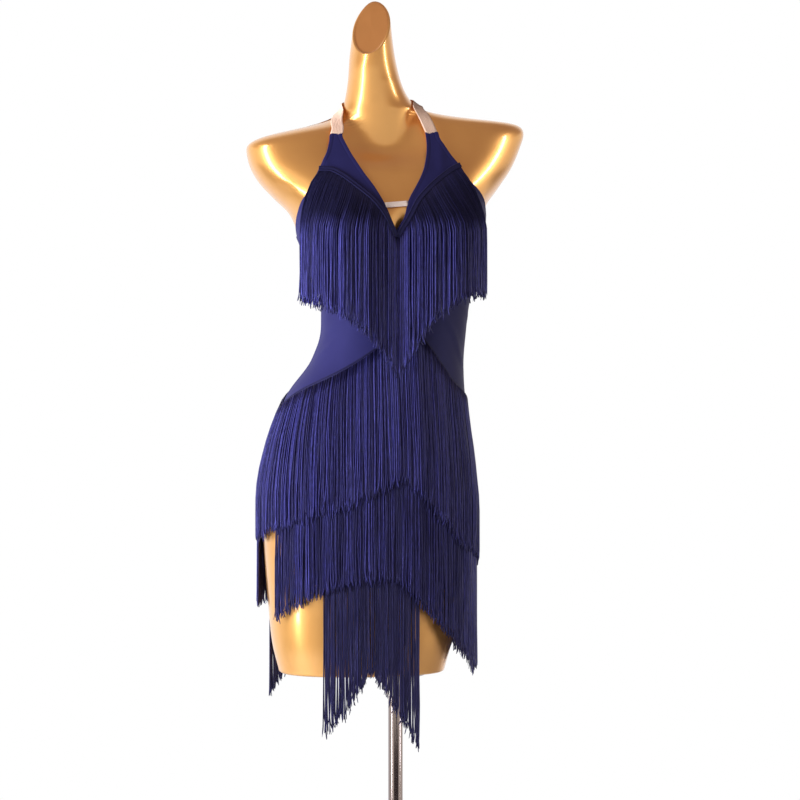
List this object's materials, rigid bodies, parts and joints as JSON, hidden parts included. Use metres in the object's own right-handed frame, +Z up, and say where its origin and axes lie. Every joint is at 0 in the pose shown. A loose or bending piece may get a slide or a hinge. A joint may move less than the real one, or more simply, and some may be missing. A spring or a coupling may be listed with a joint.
{
  "type": "latin dance dress on a dress form",
  "caption": "Halter-neck dance dress with tiered hanging fringe, worn by a limbless gold dress form on a round-based pole stand.",
  "frame": {"origin": "centre of the flat underside of the stand's round base, on the pole's axis", "axes": "+Z up along the pole, -Y the way the dress faces, +X towards the wearer's left"},
  "size_m": [0.4361, 0.35, 1.6719],
  "materials": {
    "gold_paint": "glossy gold lacquer over moulded fibreglass",
    "chrome": "polished chrome tube",
    "steel": "brushed steel plate and fittings",
    "navy_stretch": "navy stretch knit with a soft sheen",
    "navy_fringe": "silky twisted rayon fringe",
    "nude_elastic": "ribbed nude elastic"
  },
  "bodies": {
    "root": {"stand_base": "steel", "stand_pole": "chrome", "stand_flange": "steel", "form_torso": "gold_paint", "bodice_right": "navy_stretch", "bodice_left": "navy_stretch", "midriff_front": "navy_stretch", "body_back": "navy_stretch", "skirt_front": "navy_stretch", "skirt_back": "navy_stretch", "neck_strap": "nude_elastic", "bridge_strap": "nude_elastic", "tape_bodice_right": "navy_stretch", "tape_bodice_left": "navy_stretch", "tape_hip_front": "navy_stretch", "tape_hip_back": "navy_stretch", "tape_middle_front": "navy_stretch", "tape_middle_back": "navy_stretch", "tape_tail_front": "navy_stretch", "tape_tail_back": "navy_stretch", "fringe_bodice_right": "navy_fringe", "fringe_bodice_left": "navy_fringe", "fringe_hip_front": "navy_fringe", "fringe_hip_back": "navy_fringe", "fringe_middle_front": "navy_fringe", "fringe_middle_back": "navy_fringe", "fringe_tail_front": "navy_fringe", "fringe_tail_back": "navy_fringe"}
  },
  "joints": []
}
